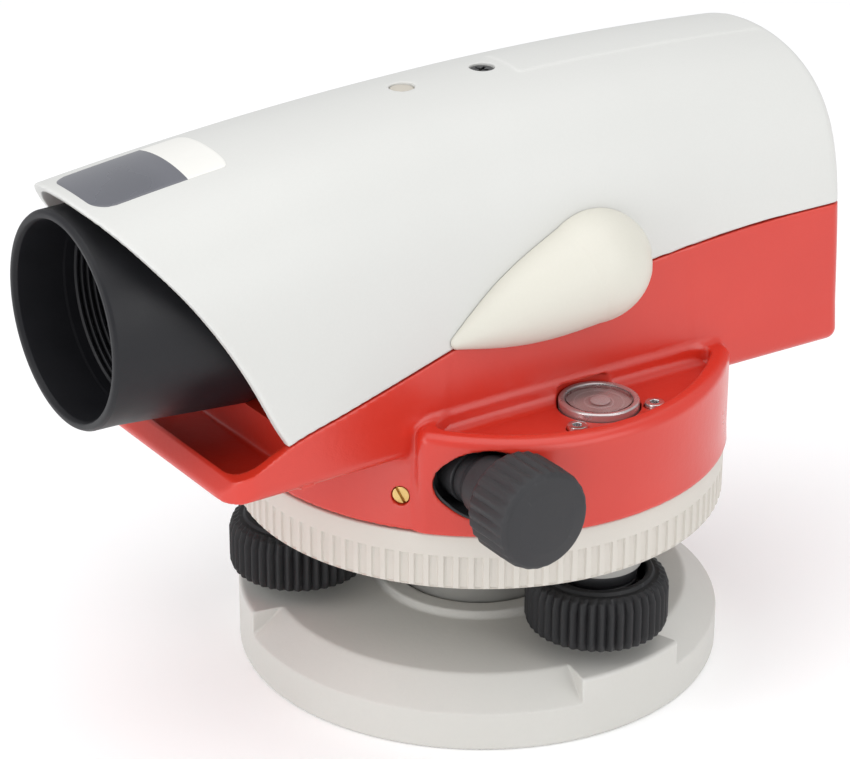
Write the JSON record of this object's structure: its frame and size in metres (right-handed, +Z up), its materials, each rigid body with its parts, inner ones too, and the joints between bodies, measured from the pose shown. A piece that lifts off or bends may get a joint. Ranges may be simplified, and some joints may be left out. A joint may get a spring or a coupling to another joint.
{
  "type": "automatic level",
  "caption": "Surveyor's automatic level: telescope with lens hood in a two-part housing on a turning circle and three-screw base, with fine drive, focusing and a circular bubble.",
  "frame": {"origin": "centre of the base plate's underside, on the vertical axis and the tripod thread's axis", "axes": "+Z up along the vertical axis; the telescope looks towards -Y and its eyepiece is at +Y; the circular bubble is on the +X side and the focusing knob on the -X side"},
  "size_m": [0.146, 0.2075, 0.1493],
  "materials": {
    "cast_grey": "matte light grey paint on a casting",
    "ring_grey": "matte warm grey moulded plastic",
    "body_red": "satin red paint, lightly textured",
    "cover_white": "satin off-white shell",
    "bump_cream": "satin cream moulded plastic",
    "plug_grey": "matte beige plug",
    "black_rubber": "matte black rubber",
    "hood_black": "matte black, slightly sheened",
    "black_metal": "black anodised",
    "brass": "machined brass",
    "steel": "ground steel",
    "spring_steel": "blued spring steel",
    "chrome": "bright plated",
    "grey_metal": "bead-blasted aluminium",
    "vial_metal": "satin grey metal",
    "glass": "clear",
    "coated_glass": "coated optical glass",
    "vial_glass": "clear vial with liquid",
    "scale_white": "matte white scale"
  },
  "bodies": {
    "base": {"base_plate": "cast_grey", "thread_insert": "brass", "spring_plate": "spring_steel", "spring_plate_screws": "steel"},
    "foot_screw_a": {"foot_knob_a": "black_rubber", "foot_spindle_a": "steel"},
    "foot_screw_b": {"foot_knob_b": "black_rubber", "foot_spindle_b": "steel"},
    "foot_screw_c": {"foot_knob_c": "black_rubber", "foot_spindle_c": "steel"},
    "tribrach": {"tribrach_body": "cast_grey", "foot_bushes": "brass", "foot_sleeves": "black_metal", "axis_bush": "brass", "tribrach_screws": "brass"},
    "circle": {"circle_ring": "ring_grey", "graduated_circle": "scale_white"},
    "clutch": {"worm_wheel": "brass", "clutch_washer": "spring_steel"},
    "alidade": {"vertical_axis": "steel", "axis_nut": "steel", "main_housing": "body_red", "top_cover": "cover_white", "prism_housing": "bump_cream", "bubble_prism": "glass", "cover_plug": "plug_grey", "cover_screw": "black_metal", "bubble_case": "vial_metal", "bubble_vial": "vial_glass", "bubble_screws": "chrome", "housing_screws": "brass", "lens_hood": "hood_black", "objective_cell": "black_metal", "objective_lens": "coated_glass", "objective_ring": "black_metal", "telescope_tube": "black_metal", "compensator_frame": "grey_metal", "fixed_prisms": "glass", "suspension_tapes": "spring_steel", "damper_cylinder": "grey_metal", "drive_bushes": "brass", "focus_bush": "brass", "eyepiece_tube": "black_metal", "reticle": "glass", "circle_window": "glass"},
    "drive": {"drive_shaft": "steel", "drive_worm": "brass", "drive_knobs": "black_rubber"},
    "focus_drive": {"focus_knob": "black_rubber", "focus_pinion": "brass"},
    "focus_slide": {"focus_carrier": "grey_metal", "focus_lens": "coated_glass"},
    "dioptre": {"dioptre_ring": "black_rubber", "eyecup": "black_rubber"},
    "eyepiece": {"eyepiece_cell": "black_metal", "eyepiece_lenses": "coated_glass"},
    "compensator": {"pendulum": "grey_metal", "pendulum_prism": "glass"}
  },
  "joints": [
    {"name": "foot_screw_a_turn", "type": "hinge", "parent": "base", "child": "foot_screw_a", "pos_m": [0.04489, 0.00314, 0.02], "axis": [0, 0, 1], "range_deg": [-1260, 1260]},
    {"name": "foot_screw_b_turn", "type": "hinge", "parent": "base", "child": "foot_screw_b", "pos_m": [-0.02516, 0.03731, 0.02], "axis": [0, 0, 1], "range_deg": [-1260, 1260]},
    {"name": "foot_screw_c_turn", "type": "hinge", "parent": "base", "child": "foot_screw_c", "pos_m": [-0.01973, -0.04045, 0.02], "axis": [0, 0, 1], "range_deg": [-1260, 1260]},
    {"name": "head_lift", "type": "slide", "parent": "base", "child": "tribrach", "axis": [0, 0, 1], "range_m": [-0.00245, 0.00245]},
    {"name": "circle_turn", "type": "hinge", "parent": "tribrach", "child": "circle", "pos_m": [0, 0, 0.046], "axis": [0, 0, 1], "continuous": true},
    {"name": "coarse_swing", "type": "hinge", "parent": "tribrach", "child": "clutch", "pos_m": [0, 0, 0.06], "axis": [0, 0, 1], "continuous": true},
    {"name": "fine_swing", "type": "hinge", "parent": "clutch", "child": "alidade", "pos_m": [0, 0, 0.07], "axis": [0, 0, 1], "continuous": true},
    {"name": "drive_turn", "type": "hinge", "parent": "alidade", "child": "drive", "pos_m": [0, -0.0325, 0.07], "axis": [1, 0, 0], "continuous": true},
    {"name": "focus_turn", "type": "hinge", "parent": "alidade", "child": "focus_drive", "pos_m": [-0.04, -0.012, 0.1088], "axis": [1, 0, 0], "range_deg": [-150, 150]},
    {"name": "focus_travel", "type": "slide", "parent": "alidade", "child": "focus_slide", "axis": [0, 1, 0], "range_m": [-0.0127, 0.0127]},
    {"name": "dioptre_turn", "type": "hinge", "parent": "alidade", "child": "dioptre", "pos_m": [0, 0.088, 0.1114], "axis": [0, 1, 0], "range_deg": [-150, 150]},
    {"name": "eyepiece_travel", "type": "slide", "parent": "alidade", "child": "eyepiece", "axis": [0, 1, 0], "range_m": [-0.0014, 0.0014]},
    {"name": "compensator_swing", "type": "hinge", "parent": "alidade", "child": "compensator", "pos_m": [0, 0.024, 0.1265], "axis": [1, 0, 0], "range_deg": [-0.6, 0.6]}
  ],
  "couplings": [
    {"joint": "foot_screw_a_turn", "follows": "head_lift", "rad_per_m": 8976},
    {"joint": "foot_screw_b_turn", "follows": "head_lift", "rad_per_m": 8976},
    {"joint": "foot_screw_c_turn", "follows": "head_lift", "rad_per_m": 8976},
    {"joint": "fine_swing", "follows": "drive_turn", "ratio": 0.018182},
    {"joint": "focus_travel", "follows": "focus_turn", "m_per_rad": 0.0048},
    {"joint": "eyepiece_travel", "follows": "dioptre_turn", "m_per_rad": 0.0005}
  ]
}
